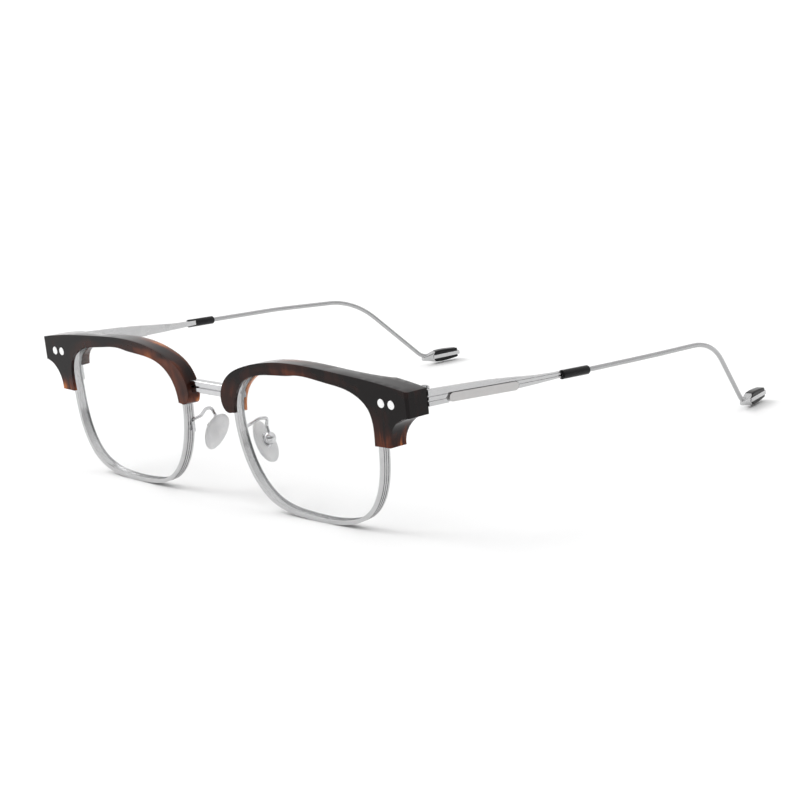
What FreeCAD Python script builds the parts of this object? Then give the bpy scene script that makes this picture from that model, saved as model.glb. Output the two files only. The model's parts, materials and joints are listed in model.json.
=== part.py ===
"""Half rim (browline) eyeglasses: acetate brows over metal eyewires, folding temples and rocking nose pads.

Millimetres.  The wearer looks along -Y, +X is the wearer's left and +Z is up.  The left half is built and
mirrored.  While it is built, y = 0 is the front of the bridge and z = 0 is near the rims' lowest point; at
the end everything moves so that the origin is the bottom centre of the whole pair.
"""
import FreeCAD, Part
import math
import os

V = FreeCAD.Vector
X = V(1, 0, 0)
Y = V(0, 1, 0)
Z = V(0, 0, 1)
ORIGIN = V(0, 0, 0)

# Front: each eye is flat, and is turned about Z (wrap) and then about X (its top leans forward).
WRAP = 1.93
LEAN = 1.4
LEAN_SHIFT = -0.67         # along Y, so that the top edge leads and the bridge stays where it is
# The eyewire's inner outline, seen from the front, as (x, z).
LENS_OUTLINE = [(33.7, 35.55), (23.6, 34.75), (16.0, 32.6), (11.9, 28.2), (10.9, 23.2), (11.6, 16.8),
                (14.2, 9.7), (20.0, 3.35), (32.5, 0.5), (44.5, 0.75), (53.7, 4.2), (58.4, 11.9),
                (59.7, 22.0), (58.8, 29.5), (54.3, 33.1), (45.0, 34.9)]

OUTLINE_POINTS = 32        # of each curve parallel to it

FRONT_WALL = 0.9           # acetate in front of the eyewire
RIM_DEPTH = 2.6
RIM_WALL = 1.0
RIM_BACK = FRONT_WALL + RIM_DEPTH
RIM_GROOVES = 3
RIM_GROOVE_WIDTH = 0.28
RIM_GROOVE_DEPTH = 0.22
LENS_THICKNESS = 1.2
LENS_RADIUS = 240.0        # of the front surface
LENS_VERTEX = 0.6          # the lens's foremost point, behind the brow's face
LENS_SEAT = 0.45           # how deep the seat in the eyewire is
LENS_CLEARANCE = 0.04      # between the lens and the seat's floor
SEAT_FRONT = 1.2
SEAT_BACK = 3.3
LENS_CENTRE = (35.5, 18.0)

BROW_SLOPE = 0.07          # how far the brow's upper and lower faces fall for each millimetre back
BROW_LAP = 0.25            # the acetate reaches this far inside the eyewire's inner edge
# From above, from behind the rivets to the nasal tip: the brow's rear side, as (x, y)
BROW_REAR = [(61.8, 7.3), (59.6, 6.0), (56.0, 5.15), (42.0, 4.75), (14.0, 4.4), (5.0, 3.5)]
# From the side: the rear of the leg over the eyewire, as (y, z)
LEG_REAR = [(5.15, 20.0), (5.5, 24.0), (6.2, 26.5), (7.0, 28.4)]
END_X = 71.3               # outer side of the end piece
END_BACK = 7.6             # y of the end piece's flat rear face
END_CORNER = 0.7

RIVET_RADIUS = 1.05
RIVETS = [(62.9, 31.7), (66.1, 31.6)]
RIVET_LENGTH = 6.2
RIVET_PROUD = 0.08

# Bridge bar between the two eyewires
BRIDGE_LOW = 26.8
BRIDGE_HIGH = 29.8
BRIDGE_FRONT = 0.3
BRIDGE_DEPTH = 2.3
BRIDGE_GROOVE = 0.5

# Temple hinge: a vertical screw through two outer barrels on the front and one between them on the temple
HINGE_X = 68.3
HINGE_Y = 9.3
BARREL_RADIUS = 1.25
PIN_RADIUS = 0.5
PIN_CLEARANCE = 0.03
BARREL_GAP = 0.05
BARREL_LEVELS = [30.4, 31.7, 33.0, 34.3]
SCREW_HEAD_RADIUS = 0.95
SCREW_HEAD_HEIGHT = 0.45
SLOT_WIDTH = 0.3
SLOT_DEPTH = 0.22
PLATE_THICKNESS = 0.9
PLATE_INNER = 62.3

# Temple: a tapered bar with two long grooves, then a sleeve, a wire and a paddle shaped tip
TEMPLE_SPLAY = 1.55        # degrees outward
ARM_FRONT = 7.7
ARM_BACK = 52.5
ARM_THICKNESS = 1.5
ARM_INNER = HINGE_X + 1.6
ARM_TOP = [(ARM_FRONT, 34.15), (20.0, 32.95), (32.0, 31.55), (43.0, 29.9), (ARM_BACK, 29.0)]
ARM_BOTTOM = [(ARM_BACK, 27.75), (44.0, 28.0), (34.0, 28.45), (22.0, 29.35), (ARM_FRONT, 30.35)]
ARM_GROOVES = [(32.75, 28.85), (31.65, 28.1)]     # z at the arm's front and at its back
ARM_GROOVE_WIDTH = 0.36
ARM_GROOVE_DEPTH = 0.3

PLAQUE_FRONT = 14.0
PLAQUE_LENGTH = 22.0
PLAQUE_HEIGHT = 2.1
PLAQUE_THICKNESS = 0.75
PLAQUE_RISE = -0.087       # how its centre line falls for each millimetre back
PLAQUE_Z = 30.95           # of its centre line, at its front end
PLAQUE_GAP = 0.12
PLAQUE_SHADOW_GAP = 0.7    # the recess starts this far ahead of the plaque
PLAQUE_SCREW_Y = 25.8
PLAQUE_SCREW_RADIUS = 0.5
PLAQUE_SCREW_HEAD = 0.8

WIRE_RADIUS = 0.6
SLEEVE_RADIUS = 1.12
SLEEVE_FRONT = 50.6
SLEEVE_BACK = 59.7
# Straight runs of the wire, from inside the sleeve to inside the tip
WIRE_ROUTE = [V(72.3, 54.0, 28.1), V(72.5, 62.0, 27.5), V(72.3, 84.0, 25.95), V(69.0, 111.3, 23.5),
              V(62.0, 131.0, 2.5), V(60.9, 136.4, 1.9)]
WIRE_BENDS = [30.0, 60.0, 24.0, 4.5]

TIP_FRONT = 131.2
TIP_BACK = 142.9
TIP_X_FRONT = 61.95
TIP_X_BACK = 59.2
TIP_Z = 1.7
TIP_HALF_HEIGHT = 1.8
TIP_HALF_WIDTH = 1.2
TIP_CAP_LENGTH = 4.6
TIP_NOSE = 0.68            # half height and half width where the wire enters
INLAY_SLANT = 35.0         # degrees: the cap reaches further back above and below than at the fin
FIN_HEIGHT = 1.1
FIN_PROUD = 0.1
FIN_BEYOND = 0.8

# Nose pads: a bent arm on the back of each eyewire, a cup, and a pad that rocks on a small screw
PAD_ARM_RADIUS = 0.42
PAD_ARM_ROUTE = [V(10.0, 2.1, 15.8), V(10.0, 2.1, 18.9), V(9.6, 4.5, 19.4), V(10.6, 6.9, 20.5),
                 V(11.1, 9.1, 20.3), V(10.1, 9.45, 18.2), V(11.3, 9.15, 15.2)]
PAD_ARM_BENDS = [0.8, 1.5, 2.0, 1.0, 1.3]
PAD_CENTRE = V(9.0, 8.7, 13.8)
PAD_LENGTH = 11.4
PAD_WIDTH = 6.6
PAD_THICKNESS = 1.5
PAD_SPLAY = 29.0           # degrees: lower end outward
PAD_TURN = 8.0             # degrees: rear edge outward
CUP_RADIUS = 1.6


def spline(points):
    """An open smooth curve through the points."""
    curve = Part.BSplineCurve()
    curve.interpolate(points)
    return curve.toShape()


def front_points(pairs, depth=0.0):
    """(x, z) pairs as points on the plane y = depth."""
    return [V(x, depth, z) for x, z in pairs]


def line(start, end):
    return Part.LineSegment(start, end).toShape()


def arc(start, middle, end):
    return Part.Arc(start, middle, end).toShape()


def closed_spline(points):
    curve = Part.BSplineCurve()
    curve.interpolate(Points=points, PeriodicFlag=True)
    return curve


def lens_wire(grow=0.0):
    """The eyewire's inner outline, moved outward by grow."""
    curve = closed_spline(front_points(LENS_OUTLINE))
    step = (curve.LastParameter - curve.FirstParameter) / OUTLINE_POINTS
    moved = []
    for i in range(OUTLINE_POINTS):
        t = curve.FirstParameter + step * i
        outward = Y.cross(curve.tangent(t)[0])
        moved.append(curve.value(t) + outward * grow)
    return Part.Wire([closed_spline(moved).toShape()])


def slab(wire, front, back):
    """A front outline carried from y = front to y = back."""
    face = Part.Face(wire)
    face.translate(Y * front)
    return face.extrude(Y * (back - front))


def placed(shape):
    """A part of the flat left eye, turned to its wrap and lean."""
    turned = shape.copy()
    turned.rotate(ORIGIN, Z, WRAP)
    turned.rotate(ORIGIN, X, LEAN)
    turned.translate(Y * LEAN_SHIFT)
    return turned


def rod(base, direction, radius, length):
    return Part.makeCylinder(radius, length, base, direction)


def block(low, high):
    """A box between two corners given as (x, y, z)."""
    size = [b - a for a, b in zip(low, high)]
    return Part.makeBox(size[0], size[1], size[2], V(*low))


def bent_wire(route, bends, radius):
    """A round wire along straight runs that are joined by tangent arcs."""
    edges = []
    start = route[0]
    for i in range(1, len(route) - 1):
        corner = route[i]
        back = (route[i - 1] - corner).normalize()
        ahead = (route[i + 1] - corner).normalize()
        half = back.getAngle(ahead) / 2
        reach = bends[i - 1] / math.tan(half)
        middle_way = (back + ahead).normalize()
        middle = corner + middle_way * (bends[i - 1] / math.sin(half) - bends[i - 1])
        edges.append(line(start, corner + back * reach))
        edges.append(arc(corner + back * reach, middle, corner + ahead * reach))
        start = corner + ahead * reach
    edges.append(line(start, route[-1]))
    path = Part.Wire(edges)
    ring = Part.Wire([Part.Circle(route[0], route[1] - route[0], radius).toShape()])
    return path.makePipeShell([ring], True, True)


# ---------------------------------------------------------------- front

def rim_blank():
    return slab(lens_wire(RIM_WALL), FRONT_WALL, RIM_BACK)


def lens_slice(grow):
    """The curved slice of glass that the lens is cut from, out to grow beyond the eyewire's edge."""
    x, z = LENS_CENTRE
    centre = V(x, LENS_VERTEX + LENS_RADIUS, z)
    shell = Part.makeSphere(LENS_RADIUS, centre).cut(Part.makeSphere(LENS_RADIUS - LENS_THICKNESS, centre))
    return slab(lens_wire(grow), -LENS_THICKNESS, RIM_BACK + LENS_THICKNESS).common(shell)


def make_lens():
    return lens_slice(LENS_SEAT - LENS_CLEARANCE)


def make_eyewire():
    """A band with grooves around its outer face and a seat for the lens inside."""
    pitch = RIM_DEPTH / (RIM_GROOVES + 1)
    levels = [FRONT_WALL]
    for i in range(RIM_GROOVES):
        middle = FRONT_WALL + pitch * (i + 1)
        levels += [middle - RIM_GROOVE_WIDTH / 2, middle + RIM_GROOVE_WIDTH / 2]
    levels.append(RIM_BACK)
    outers = (lens_wire(RIM_WALL), lens_wire(RIM_WALL - RIM_GROOVE_DEPTH))
    layers = [slab(outers[i % 2], low, high) for i, (low, high) in enumerate(zip(levels, levels[1:]))]
    band = layers[0].fuse(layers[1:])
    band = band.cut(slab(lens_wire(), FRONT_WALL, RIM_BACK))
    return band.cut(slab(lens_wire(LENS_SEAT), SEAT_FRONT, SEAT_BACK))


def brow_face():
    """The brow from the front: its top edge, nasal tip and the leg over the eyewire."""
    corner_low = V(END_X, 0, 28.9)
    leg_low = V(64.5, 0, 21.25)
    top = spline(front_points([(END_X, 35.0), (60.3, 36.5), (47.6, 37.5), (33.0, 38.15),
                               (23.4, 37.45), (15.7, 35.7), (10.0, 33.0), (7.4, 30.0),
                               (6.6, 26.4), (7.6, 24.2), (10.2, 23.7)]))
    inside = [V(10.2, 0, 23.7), V(14.0, 0, 24.0), V(30.0, 0, 28.0), V(57.0, 0, 21.15), leg_low]
    edges = [line(corner_low, V(END_X, 0, 35.0)), top]
    edges += [line(a, b) for a, b in zip(inside, inside[1:])]
    edges.append(arc(leg_low, V(66.4, 0, 26.7), corner_low))
    return Part.Face(Part.Wire(Part.__sortEdges__(edges)))


def brow_plan():
    """The brow from above: straight front, rounded outer corner, and the end piece deeper than the rest."""
    far = END_BACK + 2
    r = END_CORNER
    nasal, nasal_rear = BROW_REAR[-1]
    bulge_x = BROW_REAR[0][0] + 0.6
    bulge = spline([V(bulge_x, far, 0)] + [V(x, y, 0) for x, y in BROW_REAR])
    middle = r * (1 - math.sqrt(0.5))
    edges = [line(V(nasal, 0, 0), V(END_X - r, 0, 0)),
             arc(V(END_X - r, 0, 0), V(END_X - middle, middle, 0), V(END_X, r, 0)),
             line(V(END_X, r, 0), V(END_X, far, 0)),
             line(V(END_X, far, 0), V(bulge_x, far, 0)),
             bulge,
             line(V(nasal, nasal_rear, 0), V(nasal, 0, 0))]
    return Part.Face(Part.Wire(edges))


def behind_leg():
    """The space behind the leg, under the end piece."""
    rear = spline([V(50, y, z) for y, z in LEG_REAR])
    low = V(50, 20, LEG_REAR[0][1])
    high = V(50, 20, LEG_REAR[-1][1])
    edges = [rear, line(V(50, *LEG_REAR[-1]), high), line(high, low), line(low, V(50, *LEG_REAR[0]))]
    return Part.Face(Part.Wire(edges)).extrude(X * 30)


def make_brow():
    blank = brow_face().extrude(V(0, 1, -BROW_SLOPE) * (END_BACK + 3))
    blank = blank.common(brow_plan().extrude(Z * 60))
    blank = blank.cut(slab(lens_wire(-BROW_LAP), -1, END_BACK + 3))
    blank = blank.cut(rim_blank()).cut(behind_leg())
    brow = placed(blank)
    behind = block((0, END_BACK, -10), (90, 30, 60))
    brow = brow.cut(behind)
    for tool in (bridge_envelope(), hinge_plate(), make_rim_lock(), rim_lock_pocket(), make_rivets()):
        brow = brow.cut(tool)
    return biggest(brow)


def biggest(shape):
    return max(shape.Solids, key=lambda s: s.Volume)


def make_rivets():
    """Two round pins, domed a little at the face, that hold the hinge plate in the brow."""
    pins = []
    for x, z in RIVETS:
        pin = rod(V(x, -RIVET_PROUD, z), Y, RIVET_RADIUS, RIVET_LENGTH + RIVET_PROUD)
        pin = pin.makeFillet(RIVET_PROUD * 0.8, [e for e in pin.Edges if e.BoundBox.YMax < 0])
        pins.append(placed(pin))
    return Part.makeCompound(pins)


def bridge_envelope():
    return block((-12, BRIDGE_FRONT, BRIDGE_LOW), (12, BRIDGE_FRONT + BRIDGE_DEPTH, BRIDGE_HIGH))


def make_bridge():
    bar = bridge_envelope()
    bar = bar.makeFillet(0.35, [e for e in bar.Edges if e.BoundBox.XLength > 20])
    middle = (BRIDGE_LOW + BRIDGE_HIGH) / 2
    half = BRIDGE_GROOVE / 2
    bar = bar.cut(block((-13, -1, middle - half), (13, BRIDGE_FRONT + BRIDGE_GROOVE, middle + half)))
    for rim in (placed(rim_blank()), mirrored(placed(rim_blank()))):
        bar = bar.cut(rim)
    return min(bar.Solids, key=lambda s: abs(s.CenterOfMass.x))


# The block that closes the eyewire around the lens, on the rear of the brow's leg
LOCK_LOW = V(60.9, 2.1, 23.1)
LOCK_SIZE = V(2.5, 2.6, 4.2)
LOCK_SLIT = 0.16
LOCK_SCREW_RADIUS = 0.5
LOCK_HEAD_RADIUS = 0.8


def lock_screw():
    x = LOCK_LOW.x + 1.45
    y = LOCK_LOW.y + LOCK_SIZE.y / 2
    shank = rod(V(x, y, LOCK_LOW.z + 0.5), Z, LOCK_SCREW_RADIUS, LOCK_SIZE.z - 1.0)
    head = rod(V(x, y, LOCK_LOW.z), Z, LOCK_HEAD_RADIUS, 0.55)
    half = SLOT_WIDTH / 2
    slot = block((x - 1, y - half, LOCK_LOW.z - 1), (x + 1, y + half, LOCK_LOW.z + SLOT_DEPTH))
    return shank.fuse(head), slot


def make_rim_lock_screw():
    body, slot = lock_screw()
    return placed(body.cut(slot))


def make_rim_lock():
    """The closing block in two halves, with the slit between them."""
    high = LOCK_LOW + LOCK_SIZE
    whole = block(tuple(LOCK_LOW), tuple(high)).cut(rim_blank())
    whole = whole.cut(lock_screw()[0])
    middle = LOCK_LOW.z + LOCK_SIZE.z / 2
    slit = block((50, -1, middle - LOCK_SLIT / 2), (70, 12, middle + LOCK_SLIT / 2))
    return placed(Part.makeCompound(whole.cut(slit).Solids))


def rim_lock_pocket():
    """The space in the leg for the closing block, open to the rear and below."""
    low = LOCK_LOW - V(2.5, 0.15, 3)
    high = LOCK_LOW + LOCK_SIZE + V(0.15, 4, 0.15)
    return placed(block(tuple(low), tuple(high)).cut(slab(lens_wire(-BROW_LAP), -1, 12)))


# ---------------------------------------------------------------- hinge

def barrel(low, high, hole):
    base = V(HINGE_X, HINGE_Y, low)
    return rod(base, Z, BARREL_RADIUS, high - low).cut(rod(base, Z, hole, high - low))


def hinge_plate():
    """The plate sunk in the end piece's rear face, without its barrels."""
    low = (PLATE_INNER, END_BACK - PLATE_THICKNESS, BARREL_LEVELS[0] - 0.6)
    high = (HINGE_X + BARREL_RADIUS, END_BACK, BARREL_LEVELS[3])
    plate = block(low, high)
    return plate.cut(make_rivets())


def make_endpiece_hinge():
    part = hinge_plate()
    for low, high in ((BARREL_LEVELS[0], BARREL_LEVELS[1] - BARREL_GAP),
                      (BARREL_LEVELS[2] + BARREL_GAP, BARREL_LEVELS[3])):
        corner = (HINGE_X - BARREL_RADIUS, END_BACK - 0.1, low)
        web = block(corner, (HINGE_X + BARREL_RADIUS, HINGE_Y, high))
        web = web.cut(rod(V(HINGE_X, HINGE_Y, low), Z, PIN_RADIUS, high - low))
        part = part.fuse(web).fuse(barrel(low, high, PIN_RADIUS))
    seat = V(HINGE_X, HINGE_Y, BARREL_LEVELS[3] - SCREW_HEAD_HEIGHT / 2)
    part = part.cut(rod(seat, Z, SCREW_HEAD_RADIUS, 2))
    return part.removeSplitter()


def make_hinge_screw():
    seat = BARREL_LEVELS[3] - SCREW_HEAD_HEIGHT / 2
    shank = rod(V(HINGE_X, HINGE_Y, BARREL_LEVELS[0]), Z, PIN_RADIUS, seat - BARREL_LEVELS[0])
    head = rod(V(HINGE_X, HINGE_Y, seat), Z, SCREW_HEAD_RADIUS, SCREW_HEAD_HEIGHT)
    top = seat + SCREW_HEAD_HEIGHT
    half = SLOT_WIDTH / 2
    slot = block((HINGE_X - 2, HINGE_Y - half, top - SLOT_DEPTH), (HINGE_X + 2, HINGE_Y + half, top))
    return shank.fuse(head).cut(slot)


def make_temple_hinge():
    """The middle barrel and its leaf, on the inner face of the temple's arm."""
    low = BARREL_LEVELS[1] + BARREL_GAP
    high = BARREL_LEVELS[2] - BARREL_GAP
    leaf = block((HINGE_X + 0.65, HINGE_Y, low), (ARM_INNER, HINGE_Y + 6.5, high))
    shoulder_low = (HINGE_X, HINGE_Y - BARREL_RADIUS * 0.6, low)
    shoulder = block(shoulder_low, (ARM_INNER, HINGE_Y + BARREL_RADIUS, high))
    part = leaf.fuse(shoulder)
    part = part.fuse(rod(V(HINGE_X, HINGE_Y, low), Z, BARREL_RADIUS, high - low))
    part = part.cut(rod(V(HINGE_X, HINGE_Y, low), Z, PIN_RADIUS + PIN_CLEARANCE, high - low))
    return splayed(part).removeSplitter()


def splayed(shape):
    """A part of the straight temple, turned outward about the hinge."""
    turned = shape.copy()
    turned.rotate(V(HINGE_X, HINGE_Y, 0), Z, -TEMPLE_SPLAY)
    return turned


# ---------------------------------------------------------------- temple

def arm_side():
    """The arm from the side."""
    top = spline([V(ARM_INNER, y, z) for y, z in ARM_TOP])
    bottom = spline([V(ARM_INNER, y, z) for y, z in ARM_BOTTOM])
    back = line(V(ARM_INNER, *ARM_TOP[-1]), V(ARM_INNER, *ARM_BOTTOM[0]))
    front = line(V(ARM_INNER, *ARM_BOTTOM[-1]), V(ARM_INNER, *ARM_TOP[0]))
    return Part.Face(Part.Wire([top, back, bottom, front]))


def groove_tool(z_front, z_back, width):
    """A long bar that cuts one groove in the arm's outer face."""
    out = ARM_INNER + ARM_THICKNESS
    half = width / 2
    corners = [V(out, ARM_FRONT - 1, z_front - half), V(out, ARM_BACK + 1, z_back - half),
               V(out, ARM_BACK + 1, z_back + half), V(out, ARM_FRONT - 1, z_front + half)]
    face = Part.Face(Part.makePolygon(corners + corners[:1]))
    return face.extrude(X * 2).fuse(face.extrude(X * -ARM_GROOVE_DEPTH))


def plaque_body(grow, ahead, depth, height):
    """A long plate with rounded ends on the arm's outer face, larger all round by grow."""
    radius = PLAQUE_HEIGHT / 2 + grow
    out = ARM_INNER + ARM_THICKNESS
    start = PLAQUE_FRONT + PLAQUE_HEIGHT / 2 - ahead
    end = PLAQUE_FRONT + PLAQUE_LENGTH - PLAQUE_HEIGHT / 2
    z_start = PLAQUE_Z - PLAQUE_RISE * ahead
    z_end = PLAQUE_Z + PLAQUE_RISE * (end - PLAQUE_FRONT)
    base = out - depth
    body = rod(V(base, start, z_start), X, radius, depth + height)
    body = body.fuse(rod(V(base, end, z_end), X, radius, depth + height))
    slope = math.atan2(z_end - z_start, end - start)
    side = V(0, -math.sin(slope), math.cos(slope)) * radius
    corners = [V(base, start, z_start) + side, V(base, end, z_end) + side,
               V(base, end, z_end) - side, V(base, start, z_start) - side]
    middle = Part.Face(Part.makePolygon(corners + corners[:1])).extrude(X * (depth + height))
    return body.fuse(middle).removeSplitter()


def plaque_screw_solid():
    """A small screw from the arm's inner face into the plaque."""
    z = PLAQUE_Z + PLAQUE_RISE * (PLAQUE_SCREW_Y - PLAQUE_FRONT)
    shank = rod(V(ARM_INNER, PLAQUE_SCREW_Y, z), X, PLAQUE_SCREW_RADIUS, ARM_THICKNESS - 0.35)
    head = rod(V(ARM_INNER - 0.25, PLAQUE_SCREW_Y, z), X, PLAQUE_SCREW_HEAD, 0.25 + SLOT_WIDTH)
    return shank.fuse(head).removeSplitter(), z


def make_plaque_screw():
    body, z = plaque_screw_solid()
    left = ARM_INNER - 0.25
    half = SLOT_WIDTH / 2
    slot = block((left - 1, PLAQUE_SCREW_Y - 1, z - half), (left + SLOT_DEPTH, PLAQUE_SCREW_Y + 1, z + half))
    return splayed(body.cut(slot))


def make_plaque():
    return splayed(plaque_body(0, 0, PLAQUE_THICKNESS, 0.06).cut(plaque_screw_solid()[0]))


def make_temple_arm():
    arm = arm_side().extrude(X * ARM_THICKNESS)
    for z_front, z_back in ARM_GROOVES:
        arm = arm.cut(groove_tool(z_front, z_back, ARM_GROOVE_WIDTH))
    recess = plaque_body(PLAQUE_GAP, PLAQUE_SHADOW_GAP, PLAQUE_THICKNESS, 1)
    arm = arm.cut(recess).cut(plaque_screw_solid()[0])
    arm = splayed(arm).cut(sleeve_solid())
    inside = arm.Solids
    return min(inside, key=lambda s: s.CenterOfMass.y) if len(inside) > 1 else biggest(arm)


def sleeve_axis():
    """The sleeve's front centre and its direction, along the wire's first run."""
    along = (WIRE_ROUTE[1] - WIRE_ROUTE[0]).normalize()
    front = WIRE_ROUTE[0] + along * (SLEEVE_FRONT - WIRE_ROUTE[0].y)
    return front, along


def sleeve_solid():
    front, along = sleeve_axis()
    length = SLEEVE_BACK - SLEEVE_FRONT
    body = rod(front, along, SLEEVE_RADIUS, length)
    back = [e for e in body.Edges if e.BoundBox.YMin > SLEEVE_BACK - 1 and e.BoundBox.YLength < 1]
    return body.makeFillet(0.5, back)


def make_sleeve():
    """The black collar over the end of the arm and the start of the wire."""
    front, along = sleeve_axis()
    bore = arm_side().extrude(X * ARM_THICKNESS)
    return biggest(sleeve_solid().cut(splayed(bore)).cut(make_wire()))


def make_wire():
    return bent_wire(WIRE_ROUTE, WIRE_BENDS, WIRE_RADIUS)


def tip_frame(shape):
    """From a tip built along +Y from its front end to its place on the wire."""
    turned = shape.copy()
    angle = math.degrees(math.atan2(TIP_X_FRONT - TIP_X_BACK, TIP_BACK - TIP_FRONT))
    turned.rotate(ORIGIN, Z, angle)
    turned.translate(V(TIP_X_FRONT, TIP_FRONT, TIP_Z))
    return turned


def between(curve, axis):
    """The face between a curve that starts at y = 0 and its mirror image across an axis."""
    other = curve.mirror(ORIGIN, axis)
    ends = [[edge.valueAt(t) for edge in (curve.Edges[0], other.Edges[0])]
            for t in (curve.Edges[0].FirstParameter, curve.Edges[0].LastParameter)]
    caps = [line(a, b) for a, b in ends]
    return Part.Face(Part.Wire(Part.__sortEdges__([curve, other] + caps)))


def tip_outline(length, half, width):
    """The tip from the side, carried through its width: a teardrop with a blunt rear end."""
    top = spline([V(-width, 0, TIP_NOSE), V(-width, 1.9, TIP_NOSE + 0.35),
                  V(-width, TIP_CAP_LENGTH, half - 0.12),
                  V(-width, TIP_CAP_LENGTH + 2.5, half), V(-width, length, half - 0.4)])
    return between(top, Z).extrude(X * 2 * width)


def tip_plan(length, half):
    """The tip from above, to round its sides towards the wire."""
    low = -3 * half
    side = spline([V(TIP_NOSE, 0, low), V(TIP_NOSE + 0.2, 1.9, low), V(half, TIP_CAP_LENGTH, low),
                   V(half, length, low)])
    return between(side, X).extrude(Z * -2 * low)


def tip_length():
    return math.hypot(TIP_BACK - TIP_FRONT, TIP_X_FRONT - TIP_X_BACK)


def tip_blank():
    """The whole paddle, metal and inlays together."""
    length = tip_length()
    blank = tip_outline(length, TIP_HALF_HEIGHT, TIP_HALF_WIDTH)
    blank = blank.common(tip_plan(length, TIP_HALF_WIDTH))
    long_edges = [e for e in blank.Edges if e.BoundBox.YLength > 4]
    return blank.makeFillet(0.45, long_edges)


def tip_inlay_space():
    """Behind the cap, above and below the central fin; each half's front end is slanted."""
    halves = []
    for side in (1, -1):
        start = TIP_CAP_LENGTH - 1.2
        rise = 9 * math.tan(math.radians(INLAY_SLANT))
        half = side * FIN_HEIGHT / 2
        corners = [V(-9, start, half), V(-9, start + rise, half + side * 9), V(-9, 40, half + side * 9),
                   V(-9, 40, half)]
        halves.append(Part.Face(Part.makePolygon(corners + corners[:1])).extrude(X * 18))
    return Part.makeCompound(halves)


def make_tip():
    """Metal cap around the wire's end, with a fin that runs back between the inlays and a little beyond."""
    length = tip_length()
    half = FIN_HEIGHT / 2
    wide = TIP_HALF_WIDTH + FIN_PROUD
    metal = tip_blank().cut(tip_inlay_space())
    fin = block((-wide, TIP_CAP_LENGTH - 1.2, -half), (wide, length + FIN_BEYOND, half))
    fin = fin.makeFillet(0.3, [e for e in fin.Edges if e.BoundBox.YLength < 1e-3 and e.BoundBox.YMin > length])
    metal = metal.fuse(fin).removeSplitter()
    return biggest(tip_frame(metal).cut(make_wire()))


def make_tip_inlays():
    halves = tip_blank().common(tip_inlay_space())
    return Part.makeCompound([tip_frame(s).cut(make_wire()) for s in halves.Solids])


# ---------------------------------------------------------------- nose pads

def pad_frame(shape):
    """From a pad built with its length along Z and its nose side facing -X to its place."""
    turned = shape.copy()
    turned.rotate(ORIGIN, Z, PAD_TURN)
    turned.rotate(ORIGIN, Y, -PAD_SPLAY)
    turned.translate(PAD_CENTRE)
    return turned


def make_nose_pad():
    """A soft oval pad, wider at its lower end, with a stub for its screw at the back."""
    half = PAD_LENGTH / 2
    wide = PAD_WIDTH / 2
    rear = [V(0, wide * 0.72, half * 0.55), V(0, wide, -half * 0.25), V(0, wide * 0.62, -half * 0.84)]
    front = [V(0, -point.y, point.z) for point in reversed(rear)]
    outline = [V(0, 0, half)] + rear + [V(0, 0, -half)] + front
    face = Part.Face(Part.Wire([closed_spline(outline).toShape()]))
    pad = face.extrude(X * PAD_THICKNESS)
    pad = pad.makeFillet(0.5, pad.Edges)
    return pad_frame(pad.fuse(pad_stub()).cut(pad_pin(PIN_CLEARANCE)))


def pad_stub():
    return block((PAD_THICKNESS - 0.1, -0.45, -0.7), (PAD_THICKNESS + 1.5, 0.45, 0.7))


def pad_pin(grow):
    return rod(V(PAD_THICKNESS + 0.9, -1.7, 0), Y, 0.3 + grow, 3.4)


def make_pad_screw():
    """The cross screw that the pad rocks on."""
    head = rod(V(PAD_THICKNESS + 0.9, 1.35, 0), Y, 0.6, 0.45)
    slot = block((PAD_THICKNESS - 1, 1.65, -0.12), (PAD_THICKNESS + 3, 2, 0.12))
    return pad_frame(pad_pin(0).fuse(head).cut(slot).removeSplitter())


def make_pad_cup():
    """The small round box that holds the pad's stub."""
    ball = Part.makeSphere(CUP_RADIUS, V(PAD_THICKNESS + 1.15, 0, 0))
    cup = ball.common(block((PAD_THICKNESS + 0.25, -9, -9), (PAD_THICKNESS + 9, 9, 9)))
    slot = block((PAD_THICKNESS - 1, -0.6, -1.05), (PAD_THICKNESS + 1.75, 0.6, 1.05))
    cup = cup.cut(slot)
    screw = pad_pin(0).fuse(rod(V(PAD_THICKNESS + 0.9, 1.35, 0), Y, 0.6, 2))
    return biggest(pad_frame(cup.cut(screw)))


def make_pad_arm():
    arm = bent_wire(PAD_ARM_ROUTE, PAD_ARM_BENDS, PAD_ARM_RADIUS)
    arm = arm.cut(placed(rim_blank()))
    cup = pad_frame(Part.makeSphere(CUP_RADIUS, V(PAD_THICKNESS + 1.15, 0, 0)))
    return biggest(arm.cut(cup))


# ---------------------------------------------------------------- the whole pair

def mirrored(shape):
    return shape.mirror(ORIGIN, X)


def left_half():
    return {
        "brow": make_brow(),
        "brow_rivets": make_rivets(),
        "eyewire": placed(make_eyewire()),
        "lens": placed(make_lens()),
        "rim_lock": make_rim_lock(),
        "rim_lock_screw": make_rim_lock_screw(),
        "endpiece_hinge": make_endpiece_hinge(),
        "hinge_screw": make_hinge_screw(),
        "temple_hinge": make_temple_hinge(),
        "temple_arm": make_temple_arm(),
        "temple_plaque": make_plaque(),
        "plaque_screw": make_plaque_screw(),
        "temple_sleeve": make_sleeve(),
        "temple_wire": make_wire(),
        "temple_tip": make_tip(),
        "tip_inlays": make_tip_inlays(),
        "pad_arm": make_pad_arm(),
        "pad_cup": make_pad_cup(),
        "pad_screw": make_pad_screw(),
        "nose_pad": make_nose_pad(),
    }


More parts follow.
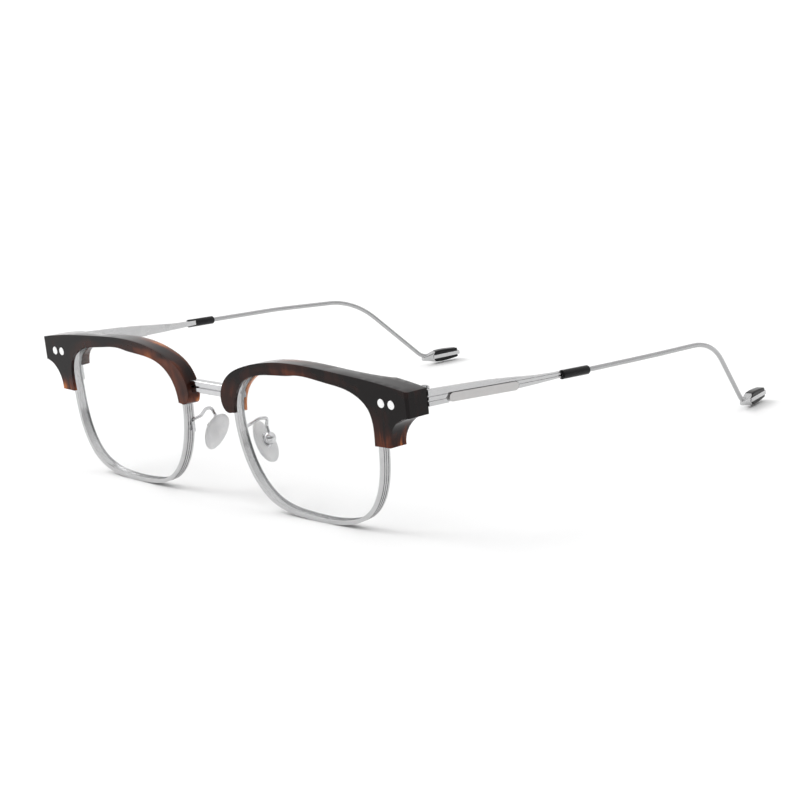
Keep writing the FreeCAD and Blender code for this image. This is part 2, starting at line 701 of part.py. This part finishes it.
def main():
    parts = {"bridge_bar": make_bridge()}
    for name, shape in left_half().items():
        parts[name + "_left"] = shape
        parts[name + "_right"] = mirrored(shape)
    whole = Part.makeCompound(list(parts.values())).optimalBoundingBox()
    home = V(-whole.Center.x, -whole.Center.y, -whole.ZMin)
    os.makedirs("parts", exist_ok=True)
    for name, shape in parts.items():
        shape.translate(home)
        shape.exportStep("parts/" + name + ".step")
    print("moved by", home)
    print("size", whole.XLength, whole.YLength, whole.ZLength)


main()
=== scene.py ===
"""The looks of the half rim eyeglasses: materials, soft pads, light and camera around the CAD frame."""

import json
import math

import bmesh
import bpy
from mathutils import Matrix, Vector


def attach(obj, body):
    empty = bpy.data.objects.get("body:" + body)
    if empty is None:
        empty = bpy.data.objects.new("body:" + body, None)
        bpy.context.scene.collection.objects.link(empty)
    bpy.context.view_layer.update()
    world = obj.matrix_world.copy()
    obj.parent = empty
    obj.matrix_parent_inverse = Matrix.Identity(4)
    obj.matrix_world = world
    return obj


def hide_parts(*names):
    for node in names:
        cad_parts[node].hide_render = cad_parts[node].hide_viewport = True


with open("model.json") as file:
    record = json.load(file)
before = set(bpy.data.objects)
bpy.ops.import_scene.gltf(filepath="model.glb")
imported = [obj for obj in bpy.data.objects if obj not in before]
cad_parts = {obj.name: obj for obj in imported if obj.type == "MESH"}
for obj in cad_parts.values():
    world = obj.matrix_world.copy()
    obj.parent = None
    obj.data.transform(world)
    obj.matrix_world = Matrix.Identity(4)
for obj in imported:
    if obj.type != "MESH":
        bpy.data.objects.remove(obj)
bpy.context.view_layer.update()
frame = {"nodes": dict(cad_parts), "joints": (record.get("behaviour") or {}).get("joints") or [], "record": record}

MM = 0.001
SIDES = {"left": 1, "right": -1}

# Nose pads and the plates and stems moulded into them, in millimetres
PAD_LENGTH = 11.4
PAD_WIDTH = 6.6
PAD_DROOP = 0.16           # how much wider the lower end is
PLATE_LENGTH = 4.2
PLATE_WIDTH = 2.4
STEM_SIZE = (1.3, 0.8, 1.3)
STEM_MIDDLE = 2.2          # behind the pad's face
STEM_BEVEL = 0.12

# Profiles from the pad's face backward: (share of the outline, millimetres behind the face)
PAD_PROFILE = [(0, 0.0), (0.3, 0.01), (0.55, 0.04), (0.75, 0.11), (0.88, 0.22), (0.96, 0.38), (1.0, 0.62),
               (1.0, 0.85), (0.97, 1.08), (0.90, 1.27), (0.80, 1.38), (0.5, 1.44), (0, 1.45)]
PLATE_PROFILE = [(0, 1.34), (0.9, 1.34), (1.0, 1.40), (1.0, 1.48), (0.94, 1.53), (0.8, 1.54), (0, 1.54)]

# Width of the rounded edges in millimetres, for each material slot, and for the slots not listed
EDGE_WIDTHS = {"acetate": 0.24, "plaque_metal": 0.1, "brushed_metal": 0.1, "black_plastic": 0.1,
               "polished_metal": 0.06, "satin_metal": 0.06, "lens_glass": 0.0, "pad_silicone": 0.0}
SMALL_EDGE = 0.04
EDGE_STEPS = 3
EDGE_ANGLE = 40            # degrees: sharper corners than this are rounded
WELD_GAP = 0.002

# Camera
CAMERA_AT = Vector((0.41338, -0.38373, 0.14470))
CAMERA_AZIMUTH = 47.7
CAMERA_ELEVATION = 13.4
CAMERA_ROLL = -5.2
CAMERA_LENS = 96.45
CAMERA_SENSOR = 36
CAMERA_NEAREST = 0.01

# Places on the acetate, in millimetres: it turns amber downward, toward the nose and toward the back
ACETATE_AMBER_TOP = 28.0
ACETATE_AMBER_LOW = 19.5
ACETATE_NOSE_FAR = 46.0
ACETATE_NOSE_NEAR = 16.0
ACETATE_MIDDLE = -69.0
ACETATE_BLEND = 0.8
# The lens opening: middle across and up, half width and half height
LENS_MIDDLE = (35.4, 18.6, 24.8, 17.6)
LENS_SQUARENESS = 4.0

FLOOR_HALF = 40.0

# Brightness of the studio overhead, away from the camera, near the camera, and of the soft box
WORLD_TOP = 1.05
WORLD_BACK = 0.9
WORLD_LOW = 0.08
WORLD_SOFTBOX = 3.8
SOFTBOX_TOWARD = (-0.72, -0.21, 0.63)


# ---------------------------------------------------------------- node helpers

def new_material(name, **sockets):
    """A material whose shader has these sockets set, by name with _ for a space."""
    mat = bpy.data.materials.new(name)
    mat.use_nodes = True
    shader = mat.node_tree.nodes["Principled BSDF"]
    for key, value in sockets.items():
        shader.inputs[key.replace("_", " ")].default_value = value
    return mat, shader


def add(mat, kind, settings=None, **inputs):
    """A node with its properties set, and its sockets set to numbers or linked to other nodes' outputs."""
    node = mat.node_tree.nodes.new("ShaderNode" + kind)
    for key, value in (settings or {}).items():
        setattr(node, key, value)
    for key, value in inputs.items():
        socket = node.inputs[int(key[1:])] if key[1:].isdigit() else node.inputs[key.replace("_", " ")]
        connect(mat, value, socket)
    return node


def connect(mat, value, socket):
    if isinstance(value, bpy.types.NodeSocket):
        mat.node_tree.links.new(value, socket)
    else:
        socket.default_value = value


def place_mm(mat, scale=(1, 1, 1), turn=(0, 0, 0)):
    """Object coordinates in millimetres, stretched and turned."""
    coords = add(mat, "TexCoord")
    size = [s / MM for s in scale]
    angles = [math.radians(a) for a in turn]
    mapping = add(mat, "Mapping", Vector=coords.outputs["Object"], Scale=size, Rotation=angles)
    return mapping.outputs["Vector"]


def noise(mat, vector, scale, detail=2.0, roughness=0.5, distortion=0.0):
    shape = {"Scale": scale, "Detail": detail, "Roughness": roughness, "Distortion": distortion}
    return add(mat, "TexNoise", Vector=vector, **shape).outputs["Fac"]


def ramp(mat, value, stops):
    """A colour ramp through (place, colour) stops."""
    node = add(mat, "ValToRGB", Fac=value)
    points = node.color_ramp.elements
    while len(points) < len(stops):
        points.new(0.5)
    for point, (place, colour) in zip(points, stops):
        point.position = place
        point.color = (*colour, 1)
    return node.outputs["Color"]


def remap(mat, value, low, high, to_low=0.0, to_high=1.0):
    node = add(mat, "MapRange", Value=value, From_Min=low, From_Max=high, To_Min=to_low, To_Max=to_high)
    node.interpolation_type = "SMOOTHSTEP"
    return node.outputs["Result"]


def math_node(mat, operation, a, b=0.0):
    """A calculation on one or two values, such as ADD or ABSOLUTE."""
    return add(mat, "Math", {"operation": operation}, _0=a, _1=b).outputs["Value"]


def weighted(mat, terms):
    """The sum of (value, weight) terms."""
    total = 0.0
    for value, weight in terms:
        total = math_node(mat, "ADD", math_node(mat, "MULTIPLY", value, weight), total)
    return total


def bump(mat, shader, height, strength, distance_mm):
    node = add(mat, "Bump", Height=height, Strength=strength, Distance=distance_mm * MM)
    mat.node_tree.links.new(node.outputs["Normal"], shader.inputs["Normal"])


# ---------------------------------------------------------------- materials

def metal(name, colour, roughness, grain, grain_depth, spread=0.05):
    """Silver metal: grain is how the fine lines are stretched, and roughness wanders by spread."""
    mat, shader = new_material(name, Metallic=1.0)
    lines = noise(mat, place_mm(mat, grain), 1.0, 3, 0.6)
    smudge = noise(mat, place_mm(mat), 0.35, 3, 0.55, 0.4)
    tone = weighted(mat, [(lines, 0.5), (smudge, 0.5)])
    dark = [c * 0.93 for c in colour]
    light = [min(1, c * 1.05) for c in colour]
    connect(mat, ramp(mat, tone, [(0.35, dark), (0.65, light)]), shader.inputs["Base Color"])
    rough = remap(mat, tone, 0.3, 0.7, roughness - spread, roughness + spread)
    connect(mat, rough, shader.inputs["Roughness"])
    bump(mat, shader, lines, grain_depth, 0.01)
    return mat


def acetate():
    """Polished tortoise acetate: nearly black, with a painted glow (redder) along the lens opening standing in for
    light shining through the thin acetate there, and amber at its ends.
    """
    mat, shader = new_material("acetate", Specular_IOR_Level=0.16, IOR=1.49)
    place = place_mm(mat)
    streaks = noise(mat, place_mm(mat, (0.50, 0.40, 0.06), (0, 12, 8)), 1.0, 2, 0.5, 0.6)
    clouds = noise(mat, place_mm(mat, (0.07, 0.20, 0.10), (0, -20, 0)), 1.0, 2, 0.5, 0.5)
    axes = add(mat, "SeparateXYZ", Vector=place).outputs
    across = math_node(mat, "ABSOLUTE", axes["X"])
    low_end = remap(mat, axes["Z"], ACETATE_AMBER_TOP, ACETATE_AMBER_LOW)
    nasal = remap(mat, across, ACETATE_NOSE_FAR, ACETATE_NOSE_NEAR)
    rear = remap(mat, axes["Y"], ACETATE_MIDDLE - ACETATE_BLEND, ACETATE_MIDDLE + ACETATE_BLEND)
    # painted glow: the band next to the lens opening turns redder, standing in for light shining through the thin
    # acetate
    thin_edge_glow = remap(mat, beyond_lens(mat, across, axes["Z"]), 1.09, 1.02)
    streak_share = remap(mat, axes["Z"], ACETATE_AMBER_TOP, ACETATE_AMBER_LOW, 0.12, 0.97)
    streaky = math_node(mat, "MULTIPLY", math_node(mat, "SUBTRACT", streaks, 0.5), streak_share)
    nasal_rear = math_node(mat, "MULTIPLY", nasal, rear)
    field = weighted(mat, [
        (streaky, 1.0),
        (clouds, 0.5),
        (low_end, 0.13),
        (nasal, 0.035),
        (nasal_rear, 0.18),
        (thin_edge_glow, 0.06),
    ])
    black = (0.0065, 0.0045, 0.0045)
    brown = (0.034, 0.0105, 0.0070)
    red = (0.125, 0.030, 0.011)
    amber = (0.50, 0.155, 0.034)
    stops = [(0.25, black), (0.35, brown), (0.44, red), (0.56, amber)]
    connect(mat, ramp(mat, field, stops), shader.inputs["Base Color"])
    smudge = noise(mat, place, 0.5, 3, 0.6)
    connect(mat, remap(mat, smudge, 0.3, 0.7, 0.07, 0.13), shader.inputs["Roughness"])
    bump(mat, shader, noise(mat, place, 0.25, 2), 0.12, 0.03)
    return mat


def beyond_lens(mat, across, height):
    """1 on a rounded square round the lens, and more outside it."""
    middle, low, half_width, half_height = LENS_MIDDLE
    total = []
    for value, centre, half in ((across, middle, half_width), (height, low, half_height)):
        offset = math_node(mat, "SUBTRACT", value, centre)
        ratio = math_node(mat, "DIVIDE", offset, half)
        total.append(math_node(mat, "POWER", math_node(mat, "ABSOLUTE", ratio), LENS_SQUARENESS))
    return math_node(mat, "POWER", math_node(mat, "ADD", *total), 1 / LENS_SQUARENESS)


def black_plastic():
    mat, shader = new_material("black_plastic", Specular_IOR_Level=0.2)
    flow = noise(mat, place_mm(mat, (0.8, 0.2, 0.8)), 1.0, 3, 0.6, 0.5)
    stops = [(0.3, (0.005, 0.005, 0.006)), (0.75, (0.014, 0.013, 0.014))]
    connect(mat, ramp(mat, flow, stops), shader.inputs["Base Color"])
    connect(mat, remap(mat, flow, 0.3, 0.7, 0.14, 0.24), shader.inputs["Roughness"])
    bump(mat, shader, noise(mat, place_mm(mat), 1.4, 2), 0.12, 0.02)
    return mat


def clear_lens():
    """Coated clear glass: hardly there but for its reflections and a faint green cast."""
    mat, shader = new_material("lens_clear", Alpha=0.06, IOR=1.6)
    tint = noise(mat, place_mm(mat), 0.08, 1)
    stops = [(0.3, (0.88, 0.93, 0.92)), (0.7, (0.93, 0.95, 0.96))]
    connect(mat, ramp(mat, tint, stops), shader.inputs["Base Color"])
    wear = noise(mat, place_mm(mat), 0.4, 3)
    connect(mat, remap(mat, wear, 0.3, 0.8, 0.0, 0.03), shader.inputs["Roughness"])
    return mat


def silicone():
    """Clear soft pad with a frosted face."""
    mat, shader = new_material("silicone", Transmission_Weight=0.35, IOR=1.41)
    cloud = noise(mat, place_mm(mat), 0.45, 3, 0.5)
    stops = [(0.3, (0.78, 0.78, 0.79)), (0.7, (0.86, 0.86, 0.86))]
    connect(mat, ramp(mat, cloud, stops), shader.inputs["Base Color"])
    connect(mat, remap(mat, cloud, 0.3, 0.7, 0.32, 0.44), shader.inputs["Roughness"])
    bump(mat, shader, noise(mat, place_mm(mat), 6.0, 2), 0.15, 0.02)
    return mat


def make_materials():
    silver = (0.53, 0.53, 0.535)
    return {
        "acetate": acetate(),
        "satin_metal": metal("satin_metal", silver, 0.14, (1.5, 1.5, 1.5), 0.04, 0.03),
        "brushed_metal": metal("brushed_metal", silver, 0.24, (6.0, 0.12, 9.0), 0.15),
        "polished_metal": metal("polished_metal", (0.60, 0.60, 0.61), 0.09, (1.0, 1.0, 1.0), 0.03, 0.03),
        "rivet_metal": metal("rivet_metal", (0.90, 0.90, 0.90), 0.3, (3.0, 3.0, 3.0), 0.05, 0.04),
        "screw_metal": metal("screw_metal", (0.50, 0.50, 0.51), 0.16, (4.0, 4.0, 4.0), 0.05, 0.04),
        "plaque_metal": metal("plaque_metal", (0.55, 0.54, 0.535), 0.42, (9.0, 9.0, 9.0), 0.2),
        "wire_metal": metal("wire_metal", (0.42, 0.42, 0.425), 0.22, (2.0, 0.3, 2.0), 0.06),
        "black_plastic": black_plastic(),
        "lens_glass": clear_lens(),
        "pad_silicone": silicone(),
    }


# ---------------------------------------------------------------- pieces

def dress(materials):
    """Each CAD node takes the material of its slot, and small rounded edges."""
    for entry in frame["record"]["subparts"]:
        name = entry["node"]
        slot = entry["material_slot"]
        node = frame["nodes"][name]
        node.data.materials.clear()
        node.data.materials.append(materials["wire_metal" if name.startswith("temple_wire") else slot])
        width = EDGE_WIDTHS.get(slot, SMALL_EDGE)
        if width:
            round_edges(node, width)


def round_edges(piece, width):
    weld = piece.modifiers.new("weld", "WELD")
    weld.merge_threshold = WELD_GAP * MM
    bevel = piece.modifiers.new("edges", "BEVEL")
    bevel.width = width * MM
    bevel.segments = EDGE_STEPS
    bevel.limit_method = "ANGLE"
    bevel.angle_limit = math.radians(EDGE_ANGLE)
    bevel.harden_normals = False


def pad_place(side):
    """Where a nose pad is built: origin on its face, X out of the nose, Y along its screw and Z up it."""
    mounts = {m["name"]: m for m in frame["record"]["mounts"]}
    joints = {j["name"]: j for j in frame["joints"]}
    face = mounts["pad_face_" + side]
    out = -Vector(face["axis"]).normalized()
    hinge = Vector(joints["pad_" + side + "_rock"]["axis"]).normalized() * SIDES[side]
    up = out.cross(hinge) * SIDES[side]
    turn = Matrix((out, hinge, up)).transposed().to_4x4()
    return Matrix.Translation(Vector(face["pos_m"])) @ turn


def link_mesh(name, bm, place, material, body):
    """A finished mesh as a smooth piece that rides on a body; a mirrored place turns its faces over."""
    bmesh.ops.recalc_face_normals(bm, faces=bm.faces)
    mesh = bpy.data.meshes.new(name)
    bm.to_mesh(mesh)
    bm.free()
    mesh.transform(place)
    if place.determinant() < 0:
        mesh.flip_normals()
    mesh.polygons.foreach_set("use_smooth", [True] * len(mesh.polygons))
    mesh.materials.append(material)
    piece = bpy.data.objects.new(name, mesh)
    bpy.context.scene.collection.objects.link(piece)
    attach(piece, body)
    return piece


def oval_shell(profile, half_length, half_width, droop, points=40):
    """A closed form of stacked ovals, each (scale, height) of the profile; droop widens the lower end."""
    bm = bmesh.new()
    rings = []
    for scale, height in profile[1:-1]:
        ring = []
        for i in range(points):
            a = 2 * math.pi * i / points
            wide = half_width * math.sin(a) * (1 - droop * math.cos(a))
            along_pad = half_length * math.cos(a)
            ring.append(bm.verts.new((height * MM, wide * scale * MM, along_pad * scale * MM)))
        rings.append(ring)
    for low, high in zip(rings, rings[1:]):
        for i in range(points):
            k = (i + 1) % points
            bm.faces.new((low[i], low[k], high[k], high[i]))
    for ring, (_, height) in ((rings[0], profile[0]), (rings[-1], profile[-1])):
        tip = bm.verts.new((height * MM, 0, 0))
        for i in range(points):
            bm.faces.new((ring[i], ring[(i + 1) % points], tip))
    return bm


def make_nose_pads(materials):
    """Soft pads with a crowned face and a rounded rim, and the small plate and stem moulded into each."""
    for side in SIDES:
        place = pad_place(side)
        body = "pad_" + side
        shell = oval_shell(PAD_PROFILE, PAD_LENGTH / 2, PAD_WIDTH / 2, PAD_DROOP)
        soft = materials["pad_silicone"]
        pad = link_mesh("nose_pad_soft_" + side, shell, place, soft, body)
        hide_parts("nose_pad_" + side)
        subdivide(pad)
        core = oval_shell(PLATE_PROFILE, PLATE_LENGTH / 2, PLATE_WIDTH / 2, 0.0, 28)
        add_stem(core)
        link_mesh("nose_pad_core_" + side, core, place, materials["polished_metal"], body)


def add_stem(bm):
    """The flat stem from the plate into the cup."""
    stem = bmesh.ops.create_cube(bm, size=MM)["verts"]
    for vert in stem:
        vert.co = Vector([c * size for c, size in zip(vert.co, STEM_SIZE)])
        vert.co.x += STEM_MIDDLE * MM
    edges = list({edge for vert in stem for edge in vert.link_edges})
    bmesh.ops.bevel(bm, geom=edges, offset=STEM_BEVEL * MM, segments=2, affect="EDGES")


def subdivide(piece):
    smooth = piece.modifiers.new("smooth", "SUBSURF")
    smooth.levels = 1
    smooth.render_levels = 1


# ---------------------------------------------------------------- stage, light, camera

def make_floor():
    mesh = bpy.data.meshes.new("floor")
    corners = [(FLOOR_HALF * x, FLOOR_HALF * y, 0) for x, y in ((-1, -1), (1, -1), (1, 1), (-1, 1))]
    mesh.from_pydata(corners, [], [(0, 1, 2, 3)])
    floor = bpy.data.objects.new("floor", mesh)
    bpy.context.scene.collection.objects.link(floor)
    mat, shader = new_material("floor", Roughness=0.9)
    shader.inputs["Base Color"].default_value = (0.95, 0.95, 0.95, 1)
    mesh.materials.append(mat)


def along(world, facing, direction):
    """How far the view points along a direction."""
    unit = tuple(Vector(direction).normalized())
    return add(world, "VectorMath", {"operation": "DOT_PRODUCT"}, _0=facing, _1=unit).outputs["Value"]


def make_world():
    """A white studio: bright above and away from the camera, dark near the camera, with one soft box."""
    world = bpy.data.worlds.new("studio")
    bpy.context.scene.world = world
    world.use_nodes = True
    facing = add(world, "TexCoord").outputs["Generated"]
    height = add(world, "SeparateXYZ", Vector=facing).outputs["Z"]
    overhead = remap(world, height, 0.35, 0.75, 0.0, WORLD_TOP - WORLD_LOW)
    azimuth = math.radians(CAMERA_AZIMUTH)
    away = (-math.sin(azimuth), math.cos(azimuth), 0.15)
    behind = remap(world, along(world, facing, away), -0.75, 0.0, 0.0, WORLD_BACK - WORLD_LOW)
    lamp = remap(world, along(world, facing, SOFTBOX_TOWARD), 0.92, 0.97, 0.0, WORLD_SOFTBOX)
    glow = math_node(world, "ADD", math_node(world, "MAXIMUM", overhead, behind), lamp)
    back = world.node_tree.nodes["Background"]
    connect(world, math_node(world, "ADD", glow, WORLD_LOW), back.inputs["Strength"])
    back.inputs["Color"].default_value = (1, 1, 1, 1)


def make_camera():
    azimuth = math.radians(CAMERA_AZIMUTH)
    elevation = math.radians(CAMERA_ELEVATION)
    outward = Vector((math.sin(azimuth), -math.cos(azimuth), 0))
    back = outward * math.cos(elevation) + Vector((0, 0, math.sin(elevation)))
    level = Vector((math.cos(azimuth), math.sin(azimuth), 0))
    rise = back.cross(level)
    roll = math.radians(CAMERA_ROLL)
    right = level * math.cos(roll) + rise * math.sin(roll)
    up = rise * math.cos(roll) - level * math.sin(roll)
    data = bpy.data.cameras.new("camera")
    data.lens = CAMERA_LENS
    data.sensor_width = CAMERA_SENSOR
    data.clip_start = CAMERA_NEAREST
    camera = bpy.data.objects.new("camera", data)
    turn = Matrix((right, up, back)).transposed().to_4x4()
    camera.matrix_world = Matrix.Translation(CAMERA_AT) @ turn
    bpy.context.scene.collection.objects.link(camera)
    bpy.context.scene.camera = camera


def main():
    make_camera()
    make_floor()
    make_world()
    bpy.context.scene.view_settings.view_transform = "Standard"
    materials = make_materials()
    dress(materials)
    make_nose_pads(materials)


main()
